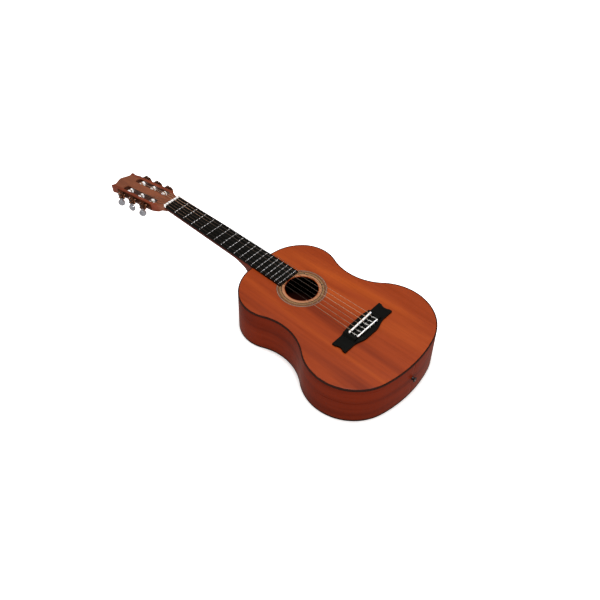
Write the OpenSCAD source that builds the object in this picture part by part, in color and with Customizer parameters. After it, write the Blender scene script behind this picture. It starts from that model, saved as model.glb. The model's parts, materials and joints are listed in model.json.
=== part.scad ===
// Small six-string guitar with a slotted head, lying on its back.
// +X runs from the head to the tail, +Z points up out of the soundboard, the back lies on z = 0.
// Inside the modules x is counted from the fingerboard's nut end; place() moves the whole guitar
// so that the origin is the centre of its footprint.

/* [View] */
// which sub-part is drawn

/* [Scale] */
// vibrating string length, nut to saddle
scale_length = 480; // [470:1:490]
// body depth, back to soundboard face
body_depth = 86; // [80:1:92]

/* [Body outline] */
// nut to the body's flat front
body_front = 242; // [241:0.5:244]
// nut to the tail
tail_x = 600; // [594:1:606]
// nut to the widest line of the lower bout
lower_x = 503; // [499:1:507]
// half width of the lower bout
lower_half = 134.5; // [130:0.5:138]
// radius of the lower bout
lower_r = 91.4; // [88:0.2:94]
// nut to the widest line of the upper bout
upper_x = 313; // [311:1:316]
// half width of the upper bout
upper_half = 104.5; // [101:0.5:107]
// radius of the upper bout
upper_r = 64.7; // [62:0.1:67]
// radius of the waist
waist_r = 97; // [92:1:102]
// half width of the flat where the heel sits
flat_half = 25; // [24.8:0.1:26]

/* [Plates and rim] */
// thickness of the soundboard and of the back
plate_t = 2.5; // [2:0.1:3]
// thickness of the bent sides
side_t = 2; // [1.8:0.1:2.4]
// width of the edging strips
edging_w = 2.2; // [2:0.1:2.6]
// height of the edging strips
edging_h = 4; // [3.2:0.2:5]
// width of the linings
lining_w = 5; // [4:0.5:6]
// height of the linings
lining_h = 11; // [9:1:13]
// radius of the soundhole
hole_r = 30.6; // [29:0.2:32]
// nut to the soundhole's centre
hole_x = 345.3; // [345.3:0.1:347]
// outer radius of the rosette
rosette_r = 46.4; // [45:0.2:48]
// depth of the rosette's channel
rosette_t = 0.8; // [0.6:0.1:1]

/* [Neck and fingerboard] */
// neck width at the nut
nut_width = 39; // [38:0.5:40]
// fingerboard width at its body end
board_end_width = 49; // [48:0.5:49.5]
// fingerboard length
board_length = 313.8; // [313:0.2:314.2]
// fingerboard thickness
board_t = 5; // [4.5:0.1:5.5]
// neck depth below the fingerboard at the nut
neck_t = 16; // [15:0.5:17]
// neck depth below the fingerboard where the heel starts
neck_t2 = 18; // [17:0.5:19]
// number of frets
fret_count = 18; // [16:1:18]
// height of a fret above the fingerboard
fret_h = 1; // [0.8:0.1:1.1]
// width of a fret's crown
fret_w = 2; // [1.8:0.1:2.4]
// length of the nut along the strings
nut_len = 5; // [4.5:0.5:5.5]

/* [Head] */
// backward tilt of the head in degrees
head_tilt = 10; // [9:0.5:11]
// head length from the nut along its face
head_length = 167.5; // [166:0.5:169]
// half width of the head
head_half = 29; // [28.8:0.1:29.2]
// head thickness
head_t = 16; // [15.5:0.5:17]
// half width of the middle bar between the slots
slot_in = 9.5; // [9.3:0.1:9.8]
// outer wall of the slots from the centre line
slot_out = 22.5; // [22.2:0.1:22.8]
// first roller from the nut
roller_first = 47; // [46:0.5:48]
// pitch of the rollers
roller_pitch = 35; // [34.5:0.5:35.5]

/* [Tuners] */
// radius of a roller
roller_r = 4.75; // [4.4:0.05:4.9]
// depth of the roller axis below the head's face
roller_z = 7.2; // [7:0.1:8.2]
// number of teeth on a gear
teeth = 14; // [14]
// pitch radius of a gear
gear_r = 6.3; // [6.3]
// pitch radius of a worm
worm_r = 2.6; // [2.6]
// radius of a button
button_r = 7.5; // [7:0.25:8]
// thickness of a button
button_t = 5.5; // [5:0.25:6]

/* [Bridge] */
// bridge length across the soundboard
bridge_len = 128.7; // [124:0.5:133]
// bridge width at the wings
bridge_w = 29.2; // [28:0.2:30]
// wing height
wing_h = 4.6; // [4:0.2:5]
// height of the middle of the bridge
bridge_h = 9.4; // [9:0.1:10]
// saddle top above the soundboard
saddle_h = 12.6; // [12:0.1:13]
// saddle length
saddle_len = 62; // [60:0.5:64]
// string spread at the saddle
spread_saddle = 52; // [50:0.5:54]
// string spread at the nut
spread_nut = 33; // [32:0.5:33.5]

/* [Hidden] */

strap_out = 6;                                         // strap button's reach past the tail
strap_z = 46;                                          // strap button's height above the back
x_min = -nut_len - head_length * cos(head_tilt);
x_mid = (x_min + tail_x + strap_out) / 2;
top = body_depth;

// centres of the outline's arcs
cu = [upper_x, upper_half - upper_r];
cl = [lower_x, lower_half - lower_r];
du = norm(cl - cu);
ta = ((upper_r + waist_r) ^ 2 - (lower_r + waist_r) ^ 2 + du ^ 2) / (2 * du);
th = sqrt((upper_r + waist_r) ^ 2 - ta ^ 2);
ul = (cl - cu) / du;
cw = cu + ul * ta + [-ul[1], ul[0]] * th;              // waist
b0 = body_front + upper_r;
sx = (cu[0] ^ 2 + (cu[1] - flat_half) ^ 2 - b0 ^ 2) / (2 * (cu[0] - b0));
cs = [sx, flat_half];
sr = sx - body_front;                                  // shoulder
a0 = tail_x - lower_r;
tx = (a0 ^ 2 - cl[0] ^ 2 - cl[1] ^ 2) / (2 * (a0 - cl[0]));
ct = [tx, 0];
tr = tail_x - tx;                                      // tail

function angle_to(c, p) = atan2(p[1] - c[1], p[0] - c[0]);
g1 = angle_to(cs, cu);
g2 = angle_to(cu, cw);
g3 = angle_to(cw, cl);
g4 = angle_to(ct, cl);
function arc(c, r, a, b, n) = [for (i = [0:n]) c + r * [cos(a + (b - a) * i / n), sin(a + (b - a) * i / n)]];
function without_first(v) = [for (i = [1:len(v) - 1]) v[i]];
// half outline on the treble side, set in by d, from the front flat to the tail
function half(d) = concat(
    arc(cs, sr - d, 180, g1, 12),
    without_first(arc(cu, upper_r - d, g1, g2, 30)),
    without_first(arc(cw, waist_r + d, g2 - 180, g3, 20)),
    without_first(arc(cl, lower_r - d, g3 + 180, g4, 36)),
    without_first(arc(ct, tr - d, g4, 0, 10)));
function flip(v) = [for (i = [len(v) - 1:-1:0]) [v[i][0], -v[i][1]]];
function outline(d) = let (h = half(d), m = flip(h)) concat(h, without_first(m));

function fret_x(n) = scale_length * (1 - pow(2, -n / 12));
function neck_half(x) = (nut_width + (board_end_width - nut_width) * x / board_length) / 2;

// string 1 is the thinnest and lies on the treble side, +Y
gauge = [0.71, 0.82, 1.02, 0.74, 0.89, 1.09];
function nut_y(i) = spread_nut * (0.5 - i / 5);
function saddle_y(i) = spread_saddle * (0.5 - i / 5);
saddle_slant = 1.6;
function saddle_x(y) = scale_length - saddle_slant * y / 64;
// tuner of string i: side and place along the head, first place nearest the nut
function side(i) = i < 3 ? 1 : -1;
function post(i) = i < 3 ? i : 5 - i;
function roller_s(k) = roller_first + roller_pitch * k;
slot_a = roller_first - 19;
slot_b = roller_s(2) + 14;
slot_mid = (slot_in + slot_out) / 2;
slot_r = (slot_out - slot_in) / 2;
plate_y = head_half;
side_plate_t = 1.2;
gear_w = 3.5;
worm_out = worm_r + 0.7;
gear_y = plate_y + side_plate_t + worm_out + 3;
lead = 2 * PI * gear_r / teeth;
centre = gear_r + worm_r + 0.32;
shaft_r = 1.7;
ear_out = gear_y + 3.2;
button_z = -roller_z - 18.5;
button_turn = [20, -35, 60, 38, 8, 44];
bridge_x = scale_length - 8;
tie_x = bridge_x + 16;
tie_w = 10;
hole_z = 6;

module place() translate([-x_mid, 0, 0]) children();
module on_head() translate([-nut_len, 0, top]) rotate([0, -head_tilt, 0]) children();

module slab(d, z0, z1) translate([0, 0, z0]) linear_extrude(height = z1 - z0) polygon(outline(d));
module ring(d0, d1, z0, z1) {
    translate([0, 0, z0]) linear_extrude(height = z1 - z0) difference() {
        polygon(outline(d0));
        polygon(outline(d1));
    }
}
// closed skin through a list of equal rings
module skin(rings) {
    n = len(rings[0]);
    m = len(rings);
    polyhedron(
        points = [for (r = rings) for (p = r) p],
        faces = concat(
            [[for (j = [n - 1:-1:0]) j]],
            [for (i = [0:m - 2]) for (j = [0:n - 1]) [i * n + j, i * n + (j + 1) % n, (i + 1) * n + j]],
            [for (i = [0:m - 2]) for (j = [0:n - 1])
                [i * n + (j + 1) % n, (i + 1) * n + (j + 1) % n, (i + 1) * n + j]],
            [[for (j = [0:n - 1]) (m - 1) * n + j]]));
}
function unit(v) = v / norm(v);

// ---- body ----
module soundboard() color([0.7, 0.3, 0.14]) place() difference() {
    slab(edging_w, top - plate_t, top);
    translate([hole_x, 0, top - plate_t - 1]) cylinder(r = hole_r, h = plate_t + 2, $fn = 96);
    translate([hole_x, 0, top - rosette_t]) difference() {
        cylinder(r = rosette_r, h = 3, $fn = 96);
        translate([0, 0, -1]) cylinder(r = hole_r + 1, h = 5, $fn = 96);
    }
}
module rosette() color([0.85, 0.7, 0.5]) place() translate([hole_x, 0, top - rosette_t]) difference() {
    cylinder(r = rosette_r, h = rosette_t, $fn = 96);
    translate([0, 0, -1]) cylinder(r = hole_r + 1, h = 5, $fn = 96);
}
module back() color([0.45, 0.16, 0.09]) place() slab(edging_w, 0, plate_t);
module rim_half(s) {
    difference() {
        ring(0, side_t, edging_h, top - edging_h);
        translate([0, s > 0 ? -300 : 0, -1]) cube([tail_x + 50, 300, body_depth + 2]);
        translate([tail_x - 30, 0, strap_z]) rotate([0, 90, 0]) cylinder(r = 2, h = 60, $fn = 48);
    }
}
module bass_side() color([0.45, 0.16, 0.09]) place() rim_half(-1);
module treble_side() color([0.45, 0.16, 0.09]) place() rim_half(1);
module top_edging() color([0.1, 0.05, 0.04]) place() ring(0, edging_w, top - edging_h, top);
module back_edging() color([0.1, 0.05, 0.04]) place() ring(0, edging_w, 0, edging_h);
module lining(z0, z1) difference() {
    ring(edging_w, edging_w + lining_w, z0, z1);
    translate([body_front - 5, -29, z0 - 1]) cube([40, 58, z1 - z0 + 2]);
    translate([tail_x - 24, -26, z0 - 1]) cube([40, 52, z1 - z0 + 2]);
}
module top_lining() color([0.8, 0.65, 0.45]) place() lining(top - plate_t - lining_h, top - plate_t);
module back_lining() color([0.8, 0.65, 0.45]) place() lining(plate_t, plate_t + lining_h);
module neck_block() color([0.75, 0.6, 0.42]) place() intersection() {
    slab(edging_w, plate_t, top - plate_t);
    translate([body_front - 5, -28.5, 0]) cube([35, 57, top]);
}
module tail_block() color([0.75, 0.6, 0.42]) place() difference() {
    intersection() {
        slab(edging_w, plate_t, top - plate_t);
        translate([tail_x - 18, -25.5, 0]) cube([40, 51, top]);
    }
    translate([tail_x - 30, 0, strap_z]) rotate([0, 90, 0]) cylinder(r = 2, h = 60, $fn = 48);
}
module bar(x, w, z0, h) intersection() {
    slab(edging_w + lining_w + 0.3, z0, z0 + h);
    translate([x - w / 2, -200, z0]) cube([w, 400, h]);
}
module soundboard_braces() color([0.85, 0.72, 0.5]) place() {
    zt = top - plate_t;
    bar(hole_x - rosette_r - 8, 8, zt - 15, 15);
    bar(hole_x + rosette_r + 8, 8, zt - 15, 15);
    for (k = [-2:2]) translate([hole_x + rosette_r + 16, k * 14, zt - 6]) rotate([0, 0, k * 8])
        translate([0, -2.5, 0]) cube([150, 5, 6]);
}
module back_braces() color([0.85, 0.72, 0.5]) place()
    for (x = [upper_x + 28, upper_x + 105, lower_x + 12]) bar(x, 7, plate_t, 14);

// ---- neck ----
heel_z = 6;
heel_full = body_front - 13;
heel_from = body_front - 54;
shaft_slope = (neck_t2 - neck_t) / heel_from;
function shaft_depth(x) = neck_t + shaft_slope * x;
function heel_depth(x) = let (q = min(1, max(0, (x - heel_from) / (heel_full - heel_from))))
    shaft_depth(x) + (top - heel_z - shaft_depth(x)) * (1 - sqrt(1 - q * q));
function heel_mix(x) = let (q = min(1, max(0, (x - heel_from - 12) / (heel_full - heel_from - 12)))) q * q;
function heel_foot(x) = 14 * sqrt(max(0.1, 1 - ((body_front - x) / 24) ^ 2));
// one half of the section, t from 0 at the top edge to 1 on the centre line underneath
function section_point(x, t) = let (w = neck_half(max(0, x)), d = heel_depth(x), m = heel_mix(x),
        e = [w * cos(90 * t), -d * pow(sin(90 * t), 0.85)],
        v = min(1, t / 0.75),
        f = t < 0.75 ? [w + (heel_foot(x) - w) * pow(v, 1.4), -d * v]
                     : [heel_foot(x) * (1 - t) / 0.25, -d])
    e * (1 - m) + f * m;
section_n = 16;
function section(x) = concat(
    [for (i = [0:section_n]) let (p = section_point(x, i / section_n)) [x, -p[0], top + p[1]]],
    [for (i = [section_n - 1:-1:0]) let (p = section_point(x, i / section_n)) [x, p[0], top + p[1]]]);
neck_xs = concat([-nut_len, 0, 60, 120, heel_from],
    [for (i = [1:11]) heel_from + (heel_full - heel_from) * sin(90 * i / 11)], [body_front - 6, body_front]);
module neck() color([0.5, 0.2, 0.12]) place() skin([for (x = neck_xs) section(x)]);
function foot_outline() = concat(
    [for (x = [heel_full + 0.4, heel_full + 4, heel_full + 8, body_front]) [x, -heel_foot(x)]],
    [for (x = [body_front, heel_full + 8, heel_full + 4, heel_full + 0.4]) [x, heel_foot(x)]]);
module heel_cap() color([0.12, 0.07, 0.05]) place()
    translate([0, 0, heel_z - 2]) linear_extrude(height = 2) polygon(foot_outline());

// ---- head ----
module head_plan() {
    w = head_half;
    n0 = neck_half(0);
    L = head_length;
    polygon(concat(
        [[0, -n0], [-2, -n0]],
        [for (i = [0:8]) [-4 - 32 * i / 8, -(n0 + (w - n0) * (1 - cos(180 * i / 8)) / 2)]],
        [[-140, -w], [-146, -w + 1.4], [-152, -w + 1.2], [-L + 8, -w - 0.2], [-L + 4.2, -w + 1.2]],
        [for (i = [1:6]) [-L + 4.2 + 3.6 * sin(180 * i / 7), -w + 1.2 + (w - 12) * i / 7]],
        [[-L + 4, -10.5], [-L + 3, -8], [-L + 1, -3.5], [-L, 0], [-L + 1, 3.5], [-L + 3, 8], [-L + 4, 10.5]],
        [for (i = [6:-1:1]) [-L + 4.2 + 3.6 * sin(180 * i / 7), w - 1.2 - (w - 12) * i / 7]],
        [[-L + 4.2, w - 1.2], [-L + 8, w + 0.2], [-152, w - 1.2], [-146, w - 1.4], [-140, w]],
        [for (i = [8:-1:0]) [-4 - 32 * i / 8, n0 + (w - n0) * (1 - cos(180 * i / 8)) / 2]],
        [[-2, n0], [0, n0]]));
}
module slot(s) {
    translate([-slot_b, s > 0 ? slot_in : -slot_out, -head_t - 5]) {
        translate([slot_r, 0, 0]) cube([slot_b - slot_a - 2 * slot_r, slot_out - slot_in, head_t + 10]);
        translate([slot_r, slot_r, 0]) cylinder(r = slot_r, h = head_t + 10, $fn = 64);
        translate([slot_b - slot_a - slot_r, slot_r, 0]) cylinder(r = slot_r, h = head_t + 10, $fn = 64);
    }
}
screw_s = [roller_s(0) - 10.6, roller_s(0) + 20, roller_s(1) + 20, roller_s(2) + 18.5];
module headstock() color([0.55, 0.28, 0.17]) place() difference() {
    on_head() translate([0, 0, -head_t]) linear_extrude(height = head_t) head_plan();
    translate([-nut_len, -60, 0]) cube([60, 120, top + 30]);
    on_head() {
        slot(1);
        slot(-1);
        for (s = [-1, 1]) {
            translate([3, s * nut_width / 2, -head_t]) rotate([s * 45, 0, 0]) rotate([0, 0, s * 5])
                translate([-40, -4, -4]) cube([42, 8, 8]);
            for (k = [0:2]) translate([-roller_s(k), 0, -roller_z]) rotate([s * -90, 0, 0]) {
                translate([0, 0, slot_in - 3.2]) cylinder(r = 2.55, h = 5, $fn = 48);
                translate([0, 0, slot_out - 1]) cylinder(r = 3.05, h = head_half, $fn = 48);
            }
            for (x = screw_s) translate([-x, s * (head_half - 5.2), -roller_z]) rotate([s * -90, 0, 0])
                cylinder(r = 1, h = 10, $fn = 32);
        }
    }
}
module fingerboard() color([0.06, 0.05, 0.05]) place() translate([0, 0, top]) difference() {
    linear_extrude(height = board_t) polygon([[0, -neck_half(0)], [board_length, -board_end_width / 2],
        [board_length, board_end_width / 2], [0, neck_half(0)]]);
    for (n = [1:fret_count]) translate([fret_x(n) - 0.3, -40, board_t - 1.6]) cube([0.6, 80, 5]);
}
module frets() color([0.75, 0.75, 0.76]) place() for (n = [1:fret_count]) {
    w = neck_half(fret_x(n)) - 0.1;
    translate([fret_x(n), w, top + board_t]) rotate([90, 0, 0]) linear_extrude(height = 2 * w)
        polygon(concat([[0.3, 0], [0.3, -1.6], [-0.3, -1.6], [-0.3, 0]],
            [for (i = [0:8]) [-fret_w / 2 * cos(180 * i / 8), fret_h * sin(180 * i / 8)]]));
}
nut_h = board_t + fret_h + 0.7;
module nut() color([0.95, 0.94, 0.9]) place() difference() {
    translate([0, nut_width / 2, top]) rotate([90, 0, 0]) linear_extrude(height = nut_width)
        polygon([[-0.02, 0], [-0.02, nut_h + 0.5], [-1, nut_h + 1], [-nut_len, nut_h - 0.6], [-nut_len, 0]]);
    for (i = [0:5]) let (run = nut_len + roller_s(post(i)) * cos(head_tilt))
        translate([0, nut_y(i), top]) rotate([0, 0, -atan((post_y(i) - nut_y(i)) / run)])
        translate([0, gauge[i] / 2 + 0.25, 0]) rotate([90, 0, 0]) linear_extrude(height = gauge[i] + 0.5)
            polygon([[1, nut_h], [0, nut_h], [-nut_len - 1, nut_h - 2.6], [-nut_len - 1, 20], [1, 20]]);
}

// ---- bridge ----
function bump(y) = let (q = min(1, max(0, (abs(y) - 12) / 30))) (1 + cos(180 * q)) / 2;
module bridge_plan(len) {
    n = 32;
    polygon(concat(
        [for (i = [0:n]) let (y = -len / 2 + len * i / n) [bridge_x - 2.5 * bump(y), y]],
        [for (i = [n:-1:0]) let (y = -len / 2 + len * i / n) [bridge_x + bridge_w + 6.5 * bump(y), y]]));
}
module saddle_bar(w, z0, z1) {
    translate([scale_length, 0, 0]) rotate([0, 0, atan(saddle_slant / 64)])
        translate([-1.1, -w / 2, z0]) cube([2.4, w, z1 - z0]);
}
module bridge() color([0.05, 0.04, 0.04]) place() translate([0, 0, top]) difference() {
    union() {
        linear_extrude(height = wing_h) difference() {
            bridge_plan(bridge_len);
            for (s = [-1, 1]) translate([bridge_x + bridge_w / 2, s * (bridge_len / 2 + 11)])
                circle(r = 14, $fn = 96);
        }
        intersection() {
            linear_extrude(height = bridge_h) bridge_plan(bridge_len);
            translate([bridge_x - 20, 0, 0]) rotate([90, 0, 90]) linear_extrude(height = 80)
                polygon([[-39, wing_h - 1], [39, wing_h - 1], [39, wing_h], [35, bridge_h],
                    [-35, bridge_h], [-39, wing_h]]);
        }
    }
    saddle_bar(saddle_len + 0.1, bridge_h - 5, 30);
    translate([bridge_x + 11.2, -31, wing_h]) cube([tie_x - bridge_x - 11.2, 62, 20]);
    translate([tie_x + tie_w - 2.6, -27.5, bridge_h - 0.6]) cube([2.4, 55, 5]);
    translate([tie_x + tie_w, -39.5, wing_h]) cube([30, 79, 20]);
    for (i = [0:5]) translate([tie_x - 1, tie_y(i), hole_z]) rotate([0, 90, 0])
        cylinder(r = 0.75, h = tie_w + 2, $fn = 32);
}
function tie_y(i) = saddle_y(i) + (saddle_y(i) - nut_y(i)) * (tie_x + 5 - scale_length) / scale_length;
module saddle() color([0.97, 0.96, 0.93]) place() translate([0, 0, top]) intersection() {
    saddle_bar(saddle_len, bridge_h - 5, 30);
    translate([scale_length, 0, 0]) rotate([0, 0, atan(saddle_slant / 64)])
        translate([0, saddle_len, 0]) rotate([90, 0, 0]) linear_extrude(height = 2 * saddle_len)
            polygon([[-5, 0], [5, 0], [5, saddle_h - 6], [0, saddle_h], [-0.6, saddle_h], [-5, saddle_h - 3]]);
}
module tie_strip() color([0.97, 0.96, 0.93]) place()
    translate([tie_x + tie_w - 2.6, -27.5, top + bridge_h - 0.6]) cube([2.4, 55, 0.9]);

// ---- strings ----
function head_point(s, y, z) = [-nut_len - s * cos(head_tilt) - z * sin(head_tilt), y,
    top - s * sin(head_tilt) + z * cos(head_tilt)];
function post_y(i) = side(i) * [19.4, 17.6, 16.6][post(i)];
function string_path(i) = let (r = gauge[i] / 2, s = roller_s(post(i)), ty = tie_y(i),
        zt = top + bridge_h + 0.3 + r + 0.05, zs = top + saddle_h + r + 0.05, zh = top + hole_z) [
    head_point(s, post_y(i), -roller_z + roller_r + r + 0.15),
    [0, nut_y(i), top + nut_h + r + 0.04],
    [saddle_x(saddle_y(i)), saddle_y(i), zs],
    [tie_x - 1, ty, zh],
    [tie_x + tie_w + r + 0.1, ty, zh],
    [tie_x + tie_w + r + 0.1, ty, zt],
    [tie_x - r - 0.3, ty, zt],
    [tie_x - r - 0.9, ty, zt - 1.5]];
string_n = 12;
function ring_at(path, k, r) = let (n = len(path), p = path[k],
        a = k > 0 ? unit(p - path[k - 1]) : unit(path[1] - p),
        b = k < n - 1 ? unit(path[k + 1] - p) : a,
        d = unit(a + b), grow = 1 / sqrt((1 + a * b) / 2),
        s = unit([0, 1, 0] - d * d[1]), u = cross(d, s))
    [for (j = [0:string_n - 1]) p + r * (cos(360 * j / string_n) * s + grow * sin(360 * j / string_n) * u)];
module string(i) color([0.85, 0.8, 0.7]) place() let (path = string_path(i))
    skin([for (k = [0:len(path) - 1]) ring_at(path, k, gauge[i] / 2)]);

// ---- tuners ----
module tuner_plate(s) color([0.45, 0.3, 0.2]) place() on_head() difference() {
    union() {
        translate([-screw_s[3] - 4, s > 0 ? plate_y : -plate_y - side_plate_t, -roller_z - 6.5])
            cube([screw_s[3] - screw_s[0] + 7.5, side_plate_t, 13]);
        for (k = [0:2], z = [-5.9, 4.7])
            translate([-roller_s(k) - centre - 3, s > 0 ? plate_y + 0.5 : -ear_out, -roller_z + z])
                cube([6, ear_out - plate_y - 0.5, 1.2]);
    }
    for (k = [0:2]) {
        translate([-roller_s(k), s > 0 ? plate_y - 1 : -plate_y - 3, -roller_z]) rotate([-90, 0, 0])
            rotate(15) cylinder(r = 3.2, h = 4, $fn = 12);
        translate([-roller_s(k) - centre, s * gear_y, -roller_z - 8]) cylinder(r = 1.84, h = 16, $fn = 12);
    }
    for (x = screw_s) translate([-x, s > 0 ? plate_y - 1 : -plate_y - 3, -roller_z]) rotate([-90, 0, 0])
        cylinder(r = 1.2, h = 4, $fn = 12);
}
module bass_tuner_plate() tuner_plate(-1);
module treble_tuner_plate() tuner_plate(1);
module tuner_plate_screws() color([0.5, 0.36, 0.24]) place() on_head()
    for (s = [-1, 1], x = screw_s) translate([-x, s * plate_y, -roller_z]) rotate([s * -90, 0, 0])
        difference() {
            union() {
                translate([0, 0, -5]) cylinder(r = 1, h = 6, $fn = 32);
                translate([0, 0, side_plate_t]) cylinder(r1 = 2.2, r2 = 1.5, h = 0.9, $fn = 32);
                cylinder(r = 1, h = side_plate_t + 0.5, $fn = 32);
            }
            translate([-3, -0.25, side_plate_t + 0.5]) cube([6, 0.5, 1]);
        }

// cam-shaped section whose twist makes the single thread
function worm_radius(a) = let (q = abs(a), ro = worm_out, ri = worm_r - 0.9)
    q < 40 ? ro : q < 118 ? ro + (ri - ro) * (q - 40) / 78 : ri;
worm_angles = [-180, -149, -118, -98, -78, -58, -40, -20, 0, 20, 40, 58, 78, 98, 118, 149];
worm_len = 8.4;
module worm(i) color([0.75, 0.72, 0.68]) place() on_head()
    translate([-roller_s(post(i)) - centre, side(i) * gear_y, -roller_z]) {
        rotate([0, 0, -worm_len / 2 / lead * 360]) translate([0, 0, -worm_len / 2])
            linear_extrude(height = worm_len, twist = -worm_len / lead * 360, slices = 42)
                polygon([for (a = worm_angles) worm_radius(a) * [cos(a), sin(a)]]);
        translate([0, 0, worm_len / 2 - 0.01]) cylinder(r = shaft_r, h = 2.4, $fn = 12);
        translate([0, 0, -10.6]) cylinder(r = shaft_r, h = 10.6 - worm_len / 2 + 0.01, $fn = 12);
    }
module gear(i) color([0.8, 0.65, 0.35]) place() on_head()
    translate([-roller_s(post(i)), side(i) * gear_y, -roller_z]) rotate([-90, 0, 0]) {
        ro = gear_r + 0.65;
        ri = gear_r - 0.85;
        tw = gear_w * tan(atan(lead / (2 * PI * worm_r))) / gear_r * 180 / PI;
        step = 360 / teeth;
        difference() {
            translate([0, 0, -gear_w / 2]) rotate(gear_turn * tw / 2)
                linear_extrude(height = gear_w, twist = gear_turn * tw, slices = 3)
                    polygon([for (k = [0:teeth - 1]) for (q = [[-0.31, ri], [-0.11, ro], [0.11, ro], [0.31, ri]])
                        q[1] * [cos((k + 0.5 + q[0]) * step), sin((k + 0.5 + q[0]) * step)]]);
            cube([3.6, 3.6, gear_w + 2], center = true);
        }
        translate([0, 0, side(i) * (gear_w / 2 + 0.02)]) mirror([0, 0, side(i) > 0 ? 0 : 1]) difference() {
            rotate(15) cylinder(r = 3, h = 1.3, $fn = 12);
            translate([-4, -0.35, 0.7]) cube([8, 0.7, 2]);
        }
    }
gear_turn = 1;
module roller(i) color([0.95, 0.95, 0.94]) place() on_head()
    translate([-roller_s(post(i)), 0, -roller_z]) rotate([side(i) * -90, 0, 0]) {
        difference() {
            union() {
                translate([0, 0, slot_in - 3]) cylinder(r = 2.5, h = 5, $fn = 48);
                translate([0, 0, slot_in + 0.3]) cylinder(r = roller_r, h = slot_out - slot_in - 0.6, $fn = 64);
                translate([0, 0, slot_out - 1]) cylinder(r = 3, h = gear_y - gear_w / 2 - slot_out + 0.95,
                    $fn = 48);
            }
            translate([0, 0, abs(post_y(i))]) rotate([0, 90, 0]) cylinder(r = 0.8, h = 20, center = true, $fn = 24);
        }
        translate([-1.8, -1.8, gear_y - gear_w / 2 - 0.1]) cube([3.6, 3.6, gear_w + 0.1]);
    }
module button(i) color([0.82, 0.83, 0.85]) place() on_head()
    translate([-roller_s(post(i)) - centre, side(i) * gear_y, 0]) difference() {
        union() {
            translate([0, 0, button_z]) rotate([90, 0, button_turn[i]]) rotate_extrude($fn = 64)
                polygon([[0, -button_t / 2], [button_r - 2, -button_t / 2], [button_r - 0.6, -button_t / 2 + 0.9],
                    [button_r, 0], [button_r - 0.6, button_t / 2 - 0.9], [button_r - 2, button_t / 2],
                    [0, button_t / 2]]);
            translate([0, 0, -roller_z - 13]) cylinder(r = 2.4, h = 5.5, $fn = 48);
        }
        translate([0, 0, -roller_z - 10.7]) cylinder(r = shaft_r + 0.05, h = 10, $fn = 48);
    }

// ---- tail hardware ----
module strap_button() color([0.16, 0.16, 0.17]) place() translate([tail_x, 0, strap_z]) rotate([0, 90, 0])
    rotate_extrude($fn = 64) polygon([[2.05, 0.1], [3.6, 0.1], [2.9, 1], [2.7, 2.8], [3.4, 4], [4.7, 4.5],
        [5, 5.1], [4.5, strap_out - 0.2], [3.3, strap_out], [3.3, 5.2], [2.05, 4]]);
module strap_button_screw() color([0.7, 0.7, 0.72]) place() translate([tail_x, 0, strap_z]) rotate([0, 90, 0])
    difference() {
        rotate_extrude($fn = 48) polygon([[0, -15], [1.95, -13], [1.95, 4.05], [3.2, 5.25], [3.2, 5.5], [0, 5.9]]);
        translate([-5, -0.4, 5.2]) cube([10, 0.8, 2]);
        translate([-0.4, -5, 5.2]) cube([0.8, 10, 2]);
    }

soundboard();
rosette();
back();
bass_side();
treble_side();
top_edging();
back_edging();
top_lining();
back_lining();
neck_block();
tail_block();
soundboard_braces();
back_braces();
neck();
heel_cap();
headstock();
fingerboard();
frets();
nut();
bridge();
saddle();
tie_strip();
string(0);  // string_1
string(1);  // string_2
string(2);  // string_3
string(3);  // string_4
string(4);  // string_5
string(5);  // string_6
bass_tuner_plate();
treble_tuner_plate();
tuner_plate_screws();
button(0);  // button_1
button(1);  // button_2
button(2);  // button_3
button(3);  // button_4
button(4);  // button_5
button(5);  // button_6
worm(0);  // worm_1
worm(1);  // worm_2
worm(2);  // worm_3
worm(3);  // worm_4
worm(4);  // worm_5
worm(5);  // worm_6
gear(0);  // gear_1
gear(1);  // gear_2
gear(2);  // gear_3
gear(3);  // gear_4
gear(4);  // gear_5
gear(5);  // gear_6
roller(0);  // roller_1
roller(1);  // roller_2
roller(2);  // roller_3
roller(3);  // roller_4
roller(4);  // roller_5
roller(5);  // roller_6
strap_button();
strap_button_screw();
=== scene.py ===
import json
import math

import bmesh
import bpy
from mathutils import Matrix, Vector


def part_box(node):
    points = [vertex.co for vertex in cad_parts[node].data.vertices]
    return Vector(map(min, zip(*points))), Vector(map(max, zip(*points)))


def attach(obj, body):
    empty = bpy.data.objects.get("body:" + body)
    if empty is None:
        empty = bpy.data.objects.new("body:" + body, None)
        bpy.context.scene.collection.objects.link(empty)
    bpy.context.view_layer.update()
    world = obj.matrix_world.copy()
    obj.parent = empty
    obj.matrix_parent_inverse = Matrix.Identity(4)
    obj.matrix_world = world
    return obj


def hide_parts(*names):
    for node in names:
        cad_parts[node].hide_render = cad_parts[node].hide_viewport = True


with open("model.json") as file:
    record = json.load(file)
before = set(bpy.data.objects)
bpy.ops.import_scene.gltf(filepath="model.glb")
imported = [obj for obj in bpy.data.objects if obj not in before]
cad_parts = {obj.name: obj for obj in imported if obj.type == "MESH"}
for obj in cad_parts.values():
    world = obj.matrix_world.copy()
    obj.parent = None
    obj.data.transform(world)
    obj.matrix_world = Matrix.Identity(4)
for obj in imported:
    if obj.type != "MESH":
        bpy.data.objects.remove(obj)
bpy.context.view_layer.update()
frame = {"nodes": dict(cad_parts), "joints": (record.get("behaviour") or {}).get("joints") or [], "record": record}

NODES = frame["nodes"]
MM = 0.001

# ------------------------------------------------------------ the guitar's own measures, as in the CAD, mm
SCALE = 480.0          # nut to saddle, along the strings
TOP = 86.0             # height of the soundboard's face
NUT_LEN = 5.0
NUT_SPREAD, SADDLE_SPREAD = 33.0, 52.0      # first to sixth string, at the nut and at the saddle
TILT = math.radians(10)
X_MID = -0.02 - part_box("nut")[1][0] / MM      # x = 0 is the nut's front


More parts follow.
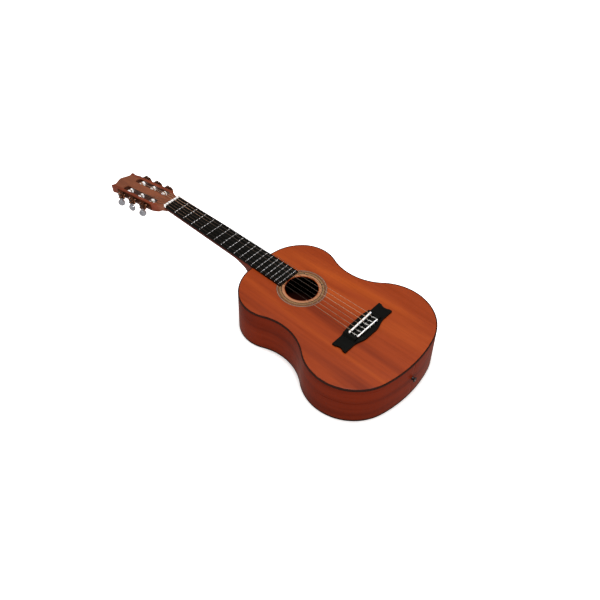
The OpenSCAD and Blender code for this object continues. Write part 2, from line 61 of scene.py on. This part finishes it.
def P(x, y, z):
    """A point of the guitar, x from the nut, in millimetres, to the row frame in metres."""
    return Vector(((x - X_MID) * MM, y * MM, z * MM))


def H(s, y, z):
    """A point on the head: s from the nut along its face, z above the face."""
    return P(-NUT_LEN - s * math.cos(TILT) - z * math.sin(TILT), y,
             TOP - s * math.sin(TILT) + z * math.cos(TILT))


# ---------------------------------------------------------------- materials
def new_material(name):
    m = bpy.data.materials.new(name)
    m.use_nodes = True
    return m, m.node_tree, m.node_tree.nodes["Principled BSDF"]


def node(tree, kind, inputs=None, **props):
    n = tree.nodes.new(kind)
    for k, v in props.items():
        setattr(n, k, v)
    for k, v in (inputs or {}).items():
        if isinstance(v, bpy.types.NodeSocket):
            tree.links.new(v, n.inputs[k])
        else:
            n.inputs[k].default_value = v
    return n


def ramp(tree, fac, stops, mode="LINEAR"):
    n = node(tree, "ShaderNodeValToRGB", {"Fac": fac})
    n.color_ramp.interpolation = mode
    e = n.color_ramp.elements
    while len(e) < len(stops):
        e.new(1.0)
    for i, (pos, col) in enumerate(stops):
        e[i].position = pos
        e[i].color = (*col, 1.0) if len(col) == 3 else col
    return n.outputs["Color"]


def coords(tree, scale, location=(0, 0, 0)):
    c = node(tree, "ShaderNodeTexCoord")
    return node(tree, "ShaderNodeMapping",
                {"Vector": c.outputs["Object"], "Scale": scale, "Location": location}).outputs["Vector"]


def noise(tree, vector, detail=4.0, rough=0.55, distortion=0.0):
    return node(tree, "ShaderNodeTexNoise",
                {"Vector": vector, "Scale": 1.0, "Detail": detail, "Roughness": rough,
                 "Distortion": distortion}).outputs["Fac"]


def mix(tree, kind, fac, a, b):
    n = node(tree, "ShaderNodeMix", data_type="RGBA", blend_type=kind)
    for key, v in ((0, fac), (6, a), (7, b)):
        if isinstance(v, bpy.types.NodeSocket):
            tree.links.new(v, n.inputs[key])
        elif key == 0:
            n.inputs[key].default_value = v
        else:
            n.inputs[key].default_value = (*v, 1.0)
    return n.outputs[2]


def remap(tree, value, lo, hi, a=0.3, b=0.7):
    return node(tree, "ShaderNodeMapRange",
                {"Value": value, "From Min": a, "From Max": b, "To Min": lo, "To Max": hi}).outputs["Result"]


def bump(tree, bsdf, height, strength, distance):
    n = node(tree, "ShaderNodeBump", {"Height": height, "Strength": strength, "Distance": distance})
    tree.links.new(n.outputs["Normal"], bsdf.inputs["Normal"])


def wood(name, dark, base, light, grain="x", bands=11.0, pore=0.22, rough=(0.34, 0.5), spec=0.5):
    """Stained wood: broad ribbon stripes, fine fibre and short dark pores, all running one way."""
    m, t, b = new_material(name)
    s = {"x": (1, 0, 0), "z": (0, 0, 1), "rim": (1, 1, 0)}[grain]

    def stretch(slow, fast):
        return tuple(slow if k else fast for k in s)

    wide = noise(t, coords(t, stretch(1.6, bands), (0.3, 0.55, 0.2)), 3.0, 0.5, 0.6)
    fine = noise(t, coords(t, stretch(6, 160)), 5.0, 0.6, 0.3)
    hair = noise(t, coords(t, stretch(38, 1400)), 2.0, 0.5)
    colour = ramp(t, wide, [(0.33, dark), (0.46, base), (0.54, base), (0.68, light)])
    colour = mix(t, "MULTIPLY", 0.55, colour, ramp(t, fine, [(0.28, (0.72, 0.66, 0.62)), (0.62, (1, 1, 1))]))
    pores = ramp(t, hair, [(0.58, (0, 0, 0)), (0.68, (1, 1, 1))])
    colour = mix(t, "MULTIPLY", remap(t, pores, 0, pore, 0, 1), colour, (0.3, 0.2, 0.16))
    t.links.new(colour, b.inputs["Base Color"])
    t.links.new(remap(t, fine, rough[0], rough[1]), b.inputs["Roughness"])
    b.inputs["Specular IOR Level"].default_value = spec
    bump(t, b, mix(t, "MIX", 0.5, fine, pores), 0.12, 0.0002)
    return m


def metal(name, colour, rough=(0.16, 0.3), dark=None, scale=400.0):
    m, t, b = new_material(name)
    n = noise(t, coords(t, (scale, scale, scale)), 4.0, 0.6)
    big = noise(t, coords(t, (60, 60, 60)), 3.0, 0.5)
    shade = dark or tuple(c * 0.75 for c in colour)
    t.links.new(mix(t, "MIX", remap(t, big, 0, 1, 0.35, 0.7), colour, shade), b.inputs["Base Color"])
    b.inputs["Metallic"].default_value = 1.0
    t.links.new(remap(t, n, rough[0], rough[1]), b.inputs["Roughness"])
    bump(t, b, n, 0.04, 0.0001)
    return m


def plastic(name, colour, shade, rough=(0.22, 0.34), scale=150.0, sub=0.0, spec=0.5):
    m, t, b = new_material(name)
    n = noise(t, coords(t, (scale, scale, scale)), 4.0, 0.6)
    t.links.new(mix(t, "MIX", remap(t, n, 0, 1), colour, shade), b.inputs["Base Color"])
    t.links.new(remap(t, n, rough[0], rough[1]), b.inputs["Roughness"])
    b.inputs["Specular IOR Level"].default_value = spec
    b.inputs["Subsurface Weight"].default_value = sub
    b.inputs["Subsurface Radius"].default_value = (0.002, 0.0015, 0.001)
    bump(t, b, n, 0.05, 0.0001)
    return m


TOP_WOOD = wood("top_wood", (0.122, 0.0115, 0.0015), (0.243, 0.0325, 0.0034), (0.345, 0.058, 0.0060),
                bands=13, spec=0.2)
SIDE_WOOD = wood("side_wood", (0.085, 0.0066, 0.0005), (0.135, 0.0118, 0.0008), (0.195, 0.0225, 0.0018),
                 grain="rim", bands=17, spec=0.06, rough=(0.26, 0.4))
BACK_WOOD = wood("back_wood", (0.11, 0.014, 0.004), (0.16, 0.022, 0.006), (0.2, 0.034, 0.009), bands=16,
                 spec=0.2)
NECK_WOOD = wood("neck_wood", (0.068, 0.011, 0.006), (0.11, 0.018, 0.009), (0.15, 0.028, 0.013), bands=40,
                 spec=0.15)
HEAD_WOOD = wood("head_wood", (0.15, 0.042, 0.018), (0.20, 0.060, 0.026), (0.25, 0.078, 0.034), bands=40,
                 spec=0.3)
PALE_WOOD = wood("pale_wood", (0.42, 0.27, 0.13), (0.55, 0.37, 0.19), (0.64, 0.46, 0.27), bands=30,
                 rough=(0.6, 0.75))
BLACK_WOOD = wood("black_wood", (0.0018, 0.0019, 0.0018), (0.0032, 0.0034, 0.0030), (0.0065, 0.0065, 0.0058),
                  bands=60, rough=(0.30, 0.45), pore=0.5, spec=0.06)


def rosette_material():
    """Rings drawn by radius round the sound hole, the middle one with a guessed pattern of tiles."""
    m, t, b = new_material("rosette_wood")
    lo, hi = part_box("rosette")
    c = node(t, "ShaderNodeTexCoord")
    p = node(t, "ShaderNodeVectorMath", {0: c.outputs["Object"], 1: (-(lo[0] + hi[0]) / 2, 0.0, 0.0)},
             operation="ADD").outputs["Vector"]
    flat = node(t, "ShaderNodeVectorMath", {0: p, 1: (1.0, 1.0, 0.0)}, operation="MULTIPLY").outputs["Vector"]
    dist = node(t, "ShaderNodeVectorMath", {0: flat}, operation="LENGTH").outputs["Value"]
    pos = remap(t, dist, 0, 1, 0.030, 0.047)
    xyz = node(t, "ShaderNodeSeparateXYZ", {"Vector": p}).outputs
    turn = node(t, "ShaderNodeMath", {0: xyz["Y"], 1: xyz["X"]}, operation="ARCTAN2").outputs[0]
    tan, brown = (0.37, 0.165, 0.08), (0.25, 0.085, 0.03)
    olive, dark, light = (0.22, 0.12, 0.045), (0.010, 0.005, 0.004), (0.30, 0.17, 0.12)

    def at(r_mm):
        return (r_mm - 30.0) / 17.0

    rings = ramp(t, pos, [(0.0, dark), (at(31.0), tan), (at(36.4), dark), (at(37.6), olive), (at(41.0), dark),
                          (at(42.0), brown), (at(43.2), dark), (at(44.1), light), (at(45.3), dark),
                          (at(46.0), brown)], "CONSTANT")
    vec = node(t, "ShaderNodeCombineXYZ", {"X": turn, "Y": pos}).outputs["Vector"]
    # the checker swaps colour at each whole number, along the ring and across it
    grid = node(t, "ShaderNodeVectorMath", {0: vec, 1: (36.0, 14.4, 1.0)}, operation="MULTIPLY")
    tiles = node(t, "ShaderNodeTexChecker", {
        "Vector": grid.outputs["Vector"],
        "Scale": 1.0, "Color1": (0.36, 0.20, 0.09, 1), "Color2": (0.06, 0.03, 0.014, 1)}).outputs["Color"]
    mosaic = ramp(t, pos, [(0.0, (0, 0, 0)), (at(37.6), (1, 1, 1)), (at(41.0), (0, 0, 0))], "CONSTANT")
    colour = mix(t, "MIX", mix(t, "MULTIPLY", 1.0, mosaic, (0.7, 0.7, 0.7)), rings, tiles)
    fine = noise(t, coords(t, (60, 900, 60)), 4.0)
    colour = mix(t, "MULTIPLY", 0.5, colour, ramp(t, fine, [(0.3, (0.7, 0.62, 0.55)), (0.62, (1, 1, 1))]))
    t.links.new(colour, b.inputs["Base Color"])
    t.links.new(remap(t, fine, 0.3, 0.42), b.inputs["Roughness"])
    b.inputs["Specular IOR Level"].default_value = 0.3
    bump(t, b, mix(t, "MIX", 0.5, rings, fine), 0.08, 0.0002)
    return m


EDGING = plastic("edging", (0.017, 0.0045, 0.0027), (0.028, 0.007, 0.004), rough=(0.4, 0.5), spec=0.06)
WHITE = plastic("white_plastic", (0.90, 0.90, 0.89), (0.82, 0.815, 0.80), sub=0.05)
NICKEL = metal("plated_steel", (0.42, 0.37, 0.34), dark=(0.24, 0.19, 0.17))
FRET = metal("fret_metal", (0.86, 0.87, 0.89), (0.24, 0.4))
BRASS = metal("gear_brass", (0.20, 0.075, 0.035), (0.25, 0.4))
BRONZE = metal("bronzed_metal", (0.24, 0.08, 0.035), (0.3, 0.45))
BLACK_METAL = metal("black_metal", (0.05, 0.05, 0.055), (0.25, 0.4))
NYLON = plastic("nylon", (0.52, 0.31, 0.20), (0.42, 0.24, 0.15), spec=0.3)
NYLON.node_tree.nodes["Principled BSDF"].inputs["Transmission Weight"].default_value = 0.35
WOUND = metal("wound_string", (0.38, 0.25, 0.18), (0.3, 0.45))

def place(t):
    """The X, Y and Z of the point being shaded, in the row frame."""
    p = node(t, "ShaderNodeTexCoord").outputs["Object"]
    return node(t, "ShaderNodeSeparateXYZ", {"Vector": p}).outputs


def across(t, lo, hi):
    """0 to 1 as a point goes from lo to hi, in metres, away from the guitar's middle plane."""
    off = node(t, "ShaderNodeMath", {0: place(t)["Y"]}, operation="ABSOLUTE").outputs[0]
    return remap(t, off, 0, 1, lo, hi)


def recolour(m, kind, mask, colour):
    """Lays colour over a finished material where mask says."""
    t, b = m.node_tree, m.node_tree.nodes["Principled BSDF"]
    under = b.inputs["Base Color"].links[0].from_socket
    t.links.new(mix(t, kind, mask, under, colour), b.inputs["Base Color"])


# the rails outside the slots are recoloured darker, to match the photo
recolour(HEAD_WOOD, "MULTIPLY", across(HEAD_WOOD.node_tree, 0.0195, 0.0245), (0.80, 0.45, 0.30))


def along(t, direction, origin, lo, hi):
    """0 to 1 as a point goes from lo to hi, in millimetres, along direction from origin."""
    p = node(t, "ShaderNodeTexCoord").outputs["Object"]
    v = node(t, "ShaderNodeVectorMath", {0: p, 1: direction}, operation="DOT_PRODUCT").outputs["Value"]
    o = Vector(origin).dot(Vector(direction))
    return remap(t, v, 0, 1, o + lo * MM, o + hi * MM)


def both(t, a, b):
    return node(t, "ShaderNodeMath", {0: a, 1: b}, operation="MULTIPLY").outputs[0]


# inside the slots the wood is recoloured dark as painted shade, to match the photo
t = HEAD_WOOD.node_tree
face = H(0, 0, 0)
down, toward_tip = (math.sin(TILT), 0, -math.cos(TILT)), (-math.cos(TILT), 0, -math.sin(TILT))
rollers = [Vector(j["pos_m"]) for j in frame["joints"] if "roller" in j["name"]]
posts = [(p - face).dot(Vector(toward_tip)) / MM for p in rollers]
first, last = min(posts) - 19.5, max(posts) + 14.5
inside = both(t, across(t, 0.0093, 0.0095), across(t, 0.0228, 0.0226))
inside = both(t, inside, along(t, down, face, 0.3, 2.5))
inside = both(t, inside, along(t, toward_tip, face, first, first + 0.5))
inside = both(t, inside, along(t, toward_tip, face, last, last - 0.5))
recolour(HEAD_WOOD, "MULTIPLY", inside, (0.28, 0.2, 0.17))
# frets: a painted shadow of the strings, recoloured dark under each string, to match the broken dashes in the
# photo
t = FRET.node_tree
xyz = place(t)
spread = remap(t, xyz["X"], NUT_SPREAD * MM, SADDLE_SPREAD * MM, P(0, 0, 0).x, P(SCALE, 0, 0).x)
part_way = node(t, "ShaderNodeMath", {0: xyz["Y"], 1: spread}, operation="DIVIDE").outputs[0]
gaps = node(t, "ShaderNodeMath", {0: part_way, 1: 5.0}, operation="MULTIPLY").outputs[0]
between = node(t, "ShaderNodeMath", {0: gaps, 1: 0.5}, operation="PINGPONG").outputs[0]
recolour(FRET, "MULTIPLY", remap(t, between, 0, 1, 0.33, 0.39), (0.03, 0.03, 0.035))
# painted shade: the neck is recoloured darker toward the nut, to match the photo
t = NECK_WOOD.node_tree
recolour(NECK_WOOD, "MULTIPLY", along(t, (1, 0, 0), P(0, 0, 0), 225, 185), (0.42, 0.38, 0.40))
# strings: painted shade, recoloured dark over the fingerboard, and a painted highlight, recoloured light behind
# the saddle, to match the photo
for m in (NYLON, WOUND):
    t = m.node_tree
    over_board = both(t, along(t, (1, 0, 0), P(0, 0, 0), 15, 120), along(t, (1, 0, 0), P(0, 0, 0), 395, 375))
    recolour(m, "MULTIPLY", over_board, (0.15, 0.18, 0.22))
    recolour(m, "MIX", along(t, (1, 0, 0), P(0, 0, 0), SCALE + 2, SCALE + 4), (0.80, 0.79, 0.76))
# painted shade: the inner face of the back is recoloured dark, because the photo's sound hole is black
t = BACK_WOOD.node_tree
recolour(BACK_WOOD, "MULTIPLY", remap(t, place(t)["Z"], 0, 1, 0.0014, 0.0018), (0.10, 0.08, 0.08))
# the roller is one piece: white inside the slot, coloured as brown metal beyond the head's side
ROLLER = plastic("roller", (0.92, 0.92, 0.92), (0.84, 0.84, 0.83), sub=0.05)
bare = node(ROLLER.node_tree, "ShaderNodeMath", {0: across(ROLLER.node_tree, 0.0226, 0.0228), 1: 0.5},
            operation="GREATER_THAN").outputs[0]
recolour(ROLLER, "MIX", bare, (0.20, 0.12, 0.08))
ROLLER.node_tree.links.new(bare, ROLLER.node_tree.nodes["Principled BSDF"].inputs["Metallic"])
BUTTON = metal("button_steel", (0.74, 0.77, 0.84), (0.12, 0.24), dark=(0.42, 0.45, 0.52))
BUTTON.node_tree.nodes["Principled BSDF"].inputs["Metallic"].default_value = 0.85

BY_SLOT = {"top_wood": TOP_WOOD, "rosette_wood": rosette_material(), "side_wood": SIDE_WOOD, "edging": EDGING,
           "pale_wood": PALE_WOOD, "neck_wood": NECK_WOOD, "head_wood": HEAD_WOOD, "black_wood": BLACK_WOOD,
           "fret_metal": FRET, "white_plastic": WHITE, "bronzed_metal": BRONZE, "plated_steel": NICKEL,
           "gear_brass": BRASS, "nylon": NYLON, "wound_string": WOUND}
SLOT_OF = {s["node"]: s["material_slot"] for s in frame["record"]["subparts"]}


def dress(name, material, bevel=0.0, segments=2, angle=32):
    """A CAD node's finish, with its edges eased by a small bevel."""
    o = NODES[name]
    o.data.materials.clear()
    o.data.materials.append(material)
    o.data.polygons.foreach_set("use_smooth", [True] * len(o.data.polygons))
    w = o.modifiers.new("weld", "WELD")
    w.merge_threshold = 0.00001
    if bevel:
        b = o.modifiers.new("ease", "BEVEL")
        b.width = bevel * MM
        b.segments = segments
        b.limit_method = "ANGLE"
        b.angle_limit = math.radians(angle)
        b.use_clamp_overlap = True
    n = o.modifiers.new("normals", "WEIGHTED_NORMAL")
    n.weight = 80
    n.keep_sharp = False
    return o


BEVELS = {"headstock": 0.7, "fingerboard": 0.3, "nut": 0.25, "bridge": 0.5, "saddle": 0.3, "heel_cap": 0.2,
          "top_edging": 0.5, "back_edging": 0.6, "strap_button": 0.2}
for name in NODES:
    dress(name, BY_SLOT[SLOT_OF[name]], BEVELS.get(name, 0.0))
NODES["back"].data.materials[0] = BACK_WOOD
NODES["strap_button"].data.materials[0] = BLACK_METAL
for k in range(1, 7):
    NODES["roller_%d" % k].data.materials[0] = ROLLER

# ---------------------------------------------------------------- mesh helpers
def add_mesh(name, verts, faces, material, body, replaces=(), sharp=None):
    me = bpy.data.meshes.new(name)
    me.from_pydata([tuple(v) for v in verts], [], faces)
    me.polygons.foreach_set("use_smooth", [True] * len(me.polygons))
    me.materials.append(material)
    me.update()
    if sharp:
        me.set_sharp_from_angle(angle=math.radians(sharp))
    o = bpy.data.objects.new(name, me)
    bpy.context.scene.collection.objects.link(o)
    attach(o, body)
    if replaces:
        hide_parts(*replaces)
    return o


def rounded(pts, radius, steps=5):
    """The path through pts with each inner corner turned into a small curve."""
    out = [pts[0]]
    for a, p, b in zip(pts, pts[1:], pts[2:]):
        u, v = (a - p), (b - p)
        r = min(radius, u.length * 0.45, v.length * 0.45)
        s, e = p + u.normalized() * r, p + v.normalized() * r
        for i in range(steps + 1):
            t = i / steps
            out.append(s * (1 - t) ** 2 + p * 2 * t * (1 - t) + e * t * t)
    out.append(pts[-1])
    return out


def spline(pts, steps=6):
    """Catmull-Rom curve through pts."""
    q = [pts[0] * 2 - pts[1]] + list(pts) + [pts[-1] * 2 - pts[-2]]
    out = []
    for a, b, c, d in zip(q, q[1:], q[2:], q[3:]):
        for i in range(steps):
            t = i / steps
            out.append(0.5 * (2 * b + (c - a) * t + (2 * a - 5 * b + 4 * c - d) * t * t
                              + (3 * b - a - 3 * c + d) * t ** 3))
    out.append(pts[-1])
    return out


def tube(pts, r, ring=10, base=0):
    """A round cord along pts, in metres, with domed ends."""
    pts = [p for i, p in enumerate(pts) if i == 0 or (p - pts[i - 1]).length > 1e-6]
    verts, faces = [], []
    t = (pts[1] - pts[0]).normalized()
    n = t.orthogonal().normalized()
    rings = []
    for i, p in enumerate(pts):
        a = (p - pts[i - 1]).normalized() if i else t
        b = (pts[i + 1] - p).normalized() if i < len(pts) - 1 else a
        t = (a + b).normalized()
        n = (n - t * n.dot(t)).normalized()
        rings.append((p, t, n, r))
    p0, t0, n0, _ = rings[0]
    p1, t1, n1, _ = rings[-1]
    rings = ([(p0 - t0 * r * 0.6, t0, n0, r * 0.35), (p0 - t0 * r * 0.35, t0, n0, r * 0.8)] + rings
             + [(p1 + t1 * r * 0.35, t1, n1, r * 0.8), (p1 + t1 * r * 0.6, t1, n1, r * 0.35)])
    for p, t, n, w in rings:
        m = t.cross(n)
        verts += [p + (n * math.cos(k * math.tau / ring) + m * math.sin(k * math.tau / ring)) * w
                  for k in range(ring)]
    for i in range(len(rings) - 1):
        for k in range(ring):
            j = (k + 1) % ring
            faces.append([base + i * ring + k, base + i * ring + j, base + (i + 1) * ring + j,
                          base + (i + 1) * ring + k])
    faces.append([base + k for k in range(ring)][::-1])
    faces.append([base + (len(rings) - 1) * ring + k for k in range(ring)])
    return verts, faces


def lathe(profile, centre, axis, n=48, base=0):
    """Turns (radius, height) points, in millimetres, about axis through centre."""
    axis = Vector(axis).normalized()
    u = axis.orthogonal().normalized()
    v = axis.cross(u)
    verts, faces = [], []
    for rad, h in profile:
        for k in range(n):
            a = k * math.tau / n
            verts.append(centre + (axis * h + (u * math.cos(a) + v * math.sin(a)) * max(rad, 0.02)) * MM)
    for i in range(len(profile) - 1):
        for k in range(n):
            j = (k + 1) % n
            faces.append([base + i * n + k, base + i * n + j, base + (i + 1) * n + j, base + (i + 1) * n + k])
    faces.append([base + k for k in range(n)][::-1])
    faces.append([base + (len(profile) - 1) * n + k for k in range(n)])
    return verts, faces


# ---------------------------------------------------------------- strings
GAUGE = [0.71, 0.82, 1.02, 0.74, 0.89, 1.09]
NUT_H, HOLE_Z = 6.7, 6.0
SADDLE_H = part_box("saddle")[1][2] / MM - TOP
BRIDGE_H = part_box("tie_strip")[1][2] / MM - TOP - 0.3
ROLLER_R, BUTTON_DROP = 4.75, 18.5
TIE_X, TIE_W = SCALE - 8 + 16, 10.0
JOINTS = {j["name"]: j for j in frame["joints"]}
BUTTON_TURN = [20, -35, 60, 38, 8, 44]


def head_of(p):
    """Row frame point in metres to the head's own s, y, z in millimetres."""
    x, z = p[0] / MM + X_MID + NUT_LEN, p[2] / MM - TOP
    return -x * math.cos(TILT) - z * math.sin(TILT), p[1] / MM, -x * math.sin(TILT) + z * math.cos(TILT)


for i in range(6):
    k, r = i + 1, GAUGE[i] / 2
    post = i if i < 3 else 5 - i
    side = 1 if i < 3 else -1
    nut_y, saddle_y = NUT_SPREAD * (0.5 - i / 5), SADDLE_SPREAD * (0.5 - i / 5)
    tie_y = saddle_y + (saddle_y - nut_y) * (TIE_X + 5 - SCALE) / SCALE
    post_y = side * (19.4, 17.6, 16.6)[post]
    mat, slot = (NYLON, "nylon") if i < 3 else (WOUND, "wound_string")

    # from the roller to the nut
    rs, _, rz = head_of(JOINTS["tuner_%d_roller_spin" % k]["pos_m"])
    ns, _, nz = head_of(P(0, nut_y, TOP + NUT_H + r + 0.04))
    big = ROLLER_R + r + 0.08
    dist = math.hypot(rs - ns, rz - nz)
    ang = math.atan2(rz - nz, rs - ns) + math.asin(big / dist)
    run = math.sqrt(dist * dist - big * big)
    touch = (ns + run * math.cos(ang), nz + run * math.sin(ang))
    pts = [H(touch[0], post_y, touch[1]), P(0, nut_y, TOP + NUT_H + r + 0.04)]
    # over the saddle, through the bridge and back over the tie block
    sx = SCALE - 1.6 * saddle_y / 64
    zs, zt, zh = TOP + SADDLE_H + r + 0.05, TOP + BRIDGE_H + 0.3 + r + 0.05, TOP + HOLE_Z
    pts += [P(sx, saddle_y, zs), P(TIE_X - 1, tie_y, zh), P(TIE_X + TIE_W + r + 0.1, tie_y, zh),
            P(TIE_X + TIE_W + r + 0.1, tie_y, zt), P(TIE_X + 1.5, tie_y, zt)]
    path = rounded(pts, 1.3 * MM)
    # the knot: round the string in front of the block and back under the loop
    q = TIE_X - 1.7
    zq = zs + (zh - zs) * (q - sx) / (TIE_X - 1 - sx)
    w = 2 * r + 0.1
    knot = spline([P(TIE_X + 1.5, tie_y, zt), P(TIE_X + 0.1, tie_y + w * 0.6, zt - 0.15),
                   P(TIE_X - 1.1, tie_y + w, (zt + zq) / 2), P(q, tie_y + w * 0.7, zq - 0.4),
                   P(q - 0.2, tie_y, zq - w), P(q, tie_y - w * 0.9, zq - 0.1),
                   P(TIE_X - 1.0, tie_y - w * 1.1, zt - 0.1), P(TIE_X + 0.6, tie_y - w * 1.1, zt + 0.15),
                   P(TIE_X + 3.4, tie_y - w * 1.25, zt + 0.1)])
    v1, f1 = tube(path[:-1] + knot, r * MM)
    add_mesh("string_%d_drawn" % k, v1, f1, mat, "guitar", ["string_%d" % k])

    # its turns round the roller, and the cut end
    wind, turns = [], 3.6
    for j in range(int(turns * 28) + 1):
        a = ang + math.pi / 2 - j / 28 * math.tau
        y = post_y - side * (2 * r + 0.06) * j / 28
        wind.append(H(rs + big * math.cos(a), y, rz + big * math.sin(a)))
    wind.append(wind[-1] + (wind[-1] - wind[-2]).normalized() * 2.4 * MM)
    v1, f1 = tube(wind, r * MM)
    add_mesh("string_%d_turns" % k, v1, f1, mat, "tuner_%d_roller" % k)

    # buttons: a dished disc on its collar
    j = JOINTS["tuner_%d_worm_spin" % k]
    normal = Vector((-math.sin(TILT), 0, math.cos(TILT)))
    at = Vector(j["pos_m"])
    turn = math.radians(BUTTON_TURN[i])
    disc_axis = Vector((math.sin(turn) * math.cos(TILT), -math.cos(turn), math.sin(turn) * math.sin(TILT)))
    half = [(0, 1.9), (2.6, 1.95), (4.2, 2.3), (5.2, 2.72), (5.9, 2.72), (6.6, 2.35), (7.1, 1.6), (7.42, 0.8)]
    disc = half + [(7.5, 0)] + [(a, -b) for a, b in reversed(half)]
    v1, f1 = lathe(disc, at - normal * BUTTON_DROP * MM, disc_axis, 64)
    collar = [(1.76, -7.5), (2.2, -7.5), (2.4, -7.8), (2.4, -8.9), (2.1, -9.2), (2.1, -9.7), (2.4, -10.0),
              (2.45, -11.2), (2.6, -12.2), (2.75, -13.2), (1.76, -13.6)]
    v2, f2 = lathe(collar, at, normal, 32, len(v1))
    add_mesh("button_%d_turned" % k, v1 + v2, f1 + f2, BUTTON, "tuner_%d_worm" % k,
             ["button_%d" % k], 40)

# ---------------------------------------------------------------- camera, floor and light
CAM_AT = P(1008.572, -776.49, 1142.82)
CAM_AZ, CAM_EL, CAM_ROLL = map(math.radians, (130.6496, 46.8098, 1.786))
CAM_LENS = 48.716

cam = bpy.data.objects.new("camera", bpy.data.cameras.new("camera"))
bpy.context.scene.collection.objects.link(cam)
d = Vector((math.cos(CAM_AZ) * math.cos(CAM_EL), math.sin(CAM_AZ) * math.cos(CAM_EL), -math.sin(CAM_EL)))
r = Vector((math.sin(CAM_AZ), -math.cos(CAM_AZ), 0))
u = r.cross(d)
c_, s_ = math.cos(CAM_ROLL), math.sin(CAM_ROLL)
right, up = r * c_ + u * s_, u * c_ - r * s_
cam.matrix_world = Matrix((right, up, -d)).transposed().to_4x4()
cam.matrix_world.translation = CAM_AT
cam.data.lens = CAM_LENS
cam.data.sensor_width = 36.0
cam.data.clip_start, cam.data.clip_end = 0.01, 50
bpy.context.scene.camera = cam

world = bpy.data.worlds.new("studio")
world.use_nodes = True
world.node_tree.nodes["Background"].inputs["Color"].default_value = (1.0, 0.9, 0.82, 1.0)
world.node_tree.nodes["Background"].inputs["Strength"].default_value = 0.3
bpy.context.scene.world = world
bpy.context.scene.view_settings.view_transform = "Standard"

bm = bmesh.new()
bmesh.ops.create_grid(bm, x_segments=1, y_segments=1, size=14.0)
me = bpy.data.meshes.new("floor")
bm.to_mesh(me)
bm.free()
floor = bpy.data.objects.new("floor", me)
bpy.context.scene.collection.objects.link(floor)
floor.location.z = -0.0002
m, t, b = new_material("floor")
fn = noise(t, coords(t, (3, 3, 3)), 2.0)
t.links.new(mix(t, "MIX", fn, (0.93, 0.93, 0.93), (0.95, 0.95, 0.95)), b.inputs["Base Color"])
b.inputs["Roughness"].default_value = 0.9
b.inputs["Specular IOR Level"].default_value = 0.0
b.inputs["Emission Color"].default_value = (1, 1, 1, 1)
# glows like a light table. Ambient occlusion dims it near the guitar, in place of a cast contact shadow
ao = node(t, "ShaderNodeAmbientOcclusion", {"Distance": 0.026}, samples=8).outputs["AO"]
t.links.new(remap(t, ao, 0.25, 1.3, 0.42, 0.96), b.inputs["Emission Strength"])
me.materials.append(m)
floor.visible_glossy = False


def lamp(name, at, look, size, power, size_y=None):
    l = bpy.data.lights.new(name, "AREA")
    l.shape = "RECTANGLE"
    l.size, l.size_y = size, size_y or size
    l.energy = power
    o = bpy.data.objects.new(name, l)
    bpy.context.scene.collection.objects.link(o)
    o.location = at
    o.rotation_euler = (Vector(look) - Vector(at)).to_track_quat("-Z", "Y").to_euler()
    return o


key = lamp("key", (1.0, -0.5, 2.3), (0.05, 0, 0), 0.28, 40)
lamp("soft", (0.15, 0.1, 2.4), (0.05, 0, 0), 2.2, 37)
# the hard key shapes the guitar alone, so the floor keeps only a soft shadow
unlit = bpy.data.collections.new("floor_without_key")
unlit.objects.link(floor)
unlit.collection_objects[0].light_linking.link_state = "EXCLUDE"
key.light_linking.receiver_collection = unlit
